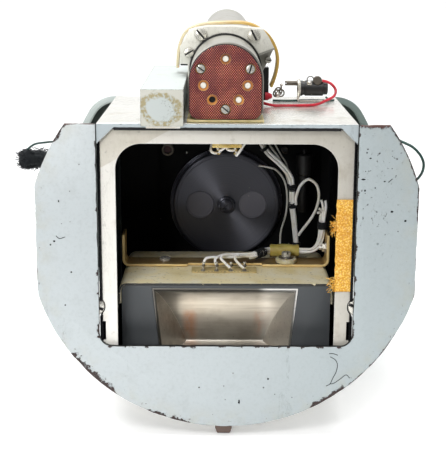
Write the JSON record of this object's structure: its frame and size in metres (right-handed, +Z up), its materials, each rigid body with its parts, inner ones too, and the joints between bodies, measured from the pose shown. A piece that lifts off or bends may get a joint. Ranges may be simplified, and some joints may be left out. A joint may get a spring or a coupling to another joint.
{
  "type": "cathode ray tube unit",
  "caption": "Round instrument tube unit: horseshoe front plate, box chamber with a turning disc and a reflector, rear drum and a long upper tube with a contact plate.",
  "frame": {"origin": "centre of the rear cover's flat back face, on the axis of the front plate's round outline", "axes": "+X to the right seen from the front, +Y from the front plate back through the drum, +Z up"},
  "size_m": [0.2379, 0.4302, 0.2251],
  "materials": {
    "blue_grey_paint": "satin, chipped at the edges",
    "drum_paint": "satin grey-green paint",
    "bare_aluminium": "brushed, lightly stained",
    "black_paint": "matt",
    "turned_black": "turned and black anodised",
    "bright_steel": "worn plating",
    "gold_passivated": "gold passivation",
    "beige_passivated": "pale passivation",
    "polished_reflector": "hand polished",
    "phenolic": "woven phenolic laminate",
    "yellowed_plastic": "aged, translucent",
    "orange_tape": "woven fibre tape",
    "white_insulation": "sleeved wire",
    "red_insulation": "satin",
    "green_insulation": "satin",
    "black_braid": "frayed braid",
    "glass": "clear, smoked face",
    "dark_window": "dark pressed insert",
    "copper_winding": "enamelled wire"
  },
  "bodies": {
    "unit_body": {"front_plate": "blue_grey_paint", "locating_lug": "bright_steel", "chassis_box": "bare_aluminium", "front_lip": "blue_grey_paint", "inner_frame": "bare_aluminium", "frame_screw_left": "bright_steel", "frame_screw_right": "bright_steel", "tape_strip": "orange_tape", "wiring_duct": "blue_grey_paint", "terminal_plate": "phenolic", "contact_pin_top": "bright_steel", "contact_pin_left": "bright_steel", "contact_pin_low_right": "bright_steel", "contact_pin_right": "bright_steel", "plate_screw_left": "bright_steel", "plate_screw_right": "bright_steel", "plate_screw_low": "bright_steel", "connector_housing": "bare_aluminium", "connector_base": "yellowed_plastic", "clamp_block": "bare_aluminium", "clamp_screw_1": "bright_steel", "clamp_screw_2": "bright_steel", "clamp_screw_3": "bright_steel", "clamp_band": "yellowed_plastic", "tube_barrel": "bare_aluminium", "barrel_saddle": "bare_aluminium", "drum_housing": "drum_paint", "joining_frame": "black_paint", "drum_bulkhead": "drum_paint", "rear_cover": "drum_paint", "chamber_rear_wall": "black_paint", "disc_panel": "black_paint", "disc_bezel": "turned_black", "bearing_bush": "gold_passivated", "crt_envelope": "glass", "electron_gun": "bright_steel", "deflection_yoke": "copper_winding", "magnetic_shield": "bright_steel", "tube_socket": "phenolic", "reflector_block": "black_paint", "reflector": "polished_reflector", "block_lid": "beige_passivated", "support_bracket": "gold_passivated", "post_strip": "phenolic", "cable_clip": "yellowed_plastic", "clip_screw": "bright_steel", "wiring_harness": "white_insulation", "upright_harness": "white_insulation", "loop_wire": "white_insulation", "top_terminals": "gold_passivated", "preset_body": "black_paint", "red_lead": "red_insulation", "green_lead": "green_insulation", "cable_sleeve": "black_braid"},
    "disc": {"turned_disc": "turned_black", "disc_window_left": "dark_window", "disc_window_right": "dark_window", "disc_spindle": "turned_black"},
    "preset": {"preset_spindle": "bright_steel"}
  },
  "joints": [
    {"name": "disc_turn", "type": "hinge", "parent": "unit_body", "child": "disc", "pos_m": [0.0006, -0.221, -0.0032], "axis": [0, 1, 0], "continuous": true},
    {"name": "preset_turn", "type": "hinge", "parent": "unit_body", "child": "preset", "pos_m": [0.045, -0.232, 0.075], "axis": [1, 0, 0], "range_deg": [0, 270]}
  ]
}
